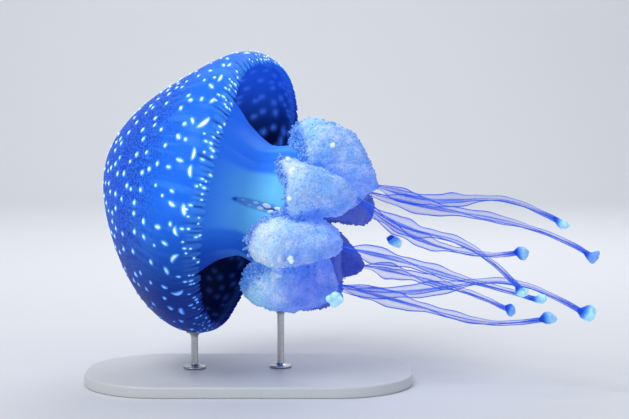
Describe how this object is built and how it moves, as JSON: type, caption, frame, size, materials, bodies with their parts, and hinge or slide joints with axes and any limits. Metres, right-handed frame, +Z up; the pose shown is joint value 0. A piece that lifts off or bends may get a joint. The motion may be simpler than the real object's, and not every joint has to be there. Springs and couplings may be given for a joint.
{
  "type": "white-spotted jellyfish model on a display stand",
  "caption": "Still, life-size spotted jellyfish: domed bell with lappeted edge, arm column, frilled arms and trailing filaments ending in clubs, held on a flat base by two rods.",
  "frame": {"origin": "middle of the stand base's underside", "axes": "+Z up, +X the way the filaments trail, -Y the front that the bell turns towards the viewer"},
  "size_m": [0.3573, 0.1984, 0.2315],
  "materials": {
    "bell": "wet, translucent blue jelly with pale spots",
    "margin": "wet, translucent blue jelly",
    "column": "wet, smooth translucent blue jelly",
    "frill": "pale granular ruffles",
    "filament": "wet, clear dark blue jelly",
    "club": "pale granular jelly",
    "base": "satin",
    "rod": "brushed"
  },
  "bodies": {
    "root": {"bell_crown": "bell", "bell_wall_1": "bell", "bell_wall_2": "bell", "bell_wall_3": "bell", "bell_wall_4": "bell", "lappets_1": "margin", "lappets_2": "margin", "lappets_3": "margin", "lappets_4": "margin", "lappets_5": "margin", "lappets_6": "margin", "lappets_7": "margin", "lappets_8": "margin", "oral_disc": "column", "arm_1": "column", "arm_2": "column", "arm_3": "column", "arm_4": "column", "arm_5": "column", "arm_6": "column", "arm_7": "column", "arm_8": "column", "frill_1": "frill", "frill_2": "frill", "frill_3": "frill", "frill_4": "frill", "frill_5": "frill", "frill_6": "frill", "frill_7": "frill", "frill_8": "frill", "filament_1_upper": "filament", "filament_1_lower": "filament", "filament_2_upper": "filament", "filament_2_lower": "filament", "filament_3_upper": "filament", "filament_3_lower": "filament", "filament_4_upper": "filament", "filament_4_lower": "filament", "filament_5_upper": "filament", "filament_5_lower": "filament", "filament_6_upper": "filament", "filament_6_lower": "filament", "filament_7_upper": "filament", "filament_7_lower": "filament", "filament_8_upper": "filament", "filament_8_lower": "filament", "club_1": "club", "club_2": "club", "club_3": "club", "club_4": "club", "club_5": "club", "club_6": "club", "club_7": "club", "club_8": "club", "short_filament_far": "club", "short_filament_near": "club", "stand_base": "base", "stand_rod_bell": "rod", "stand_rod_arms": "rod"}
  },
  "joints": []
}
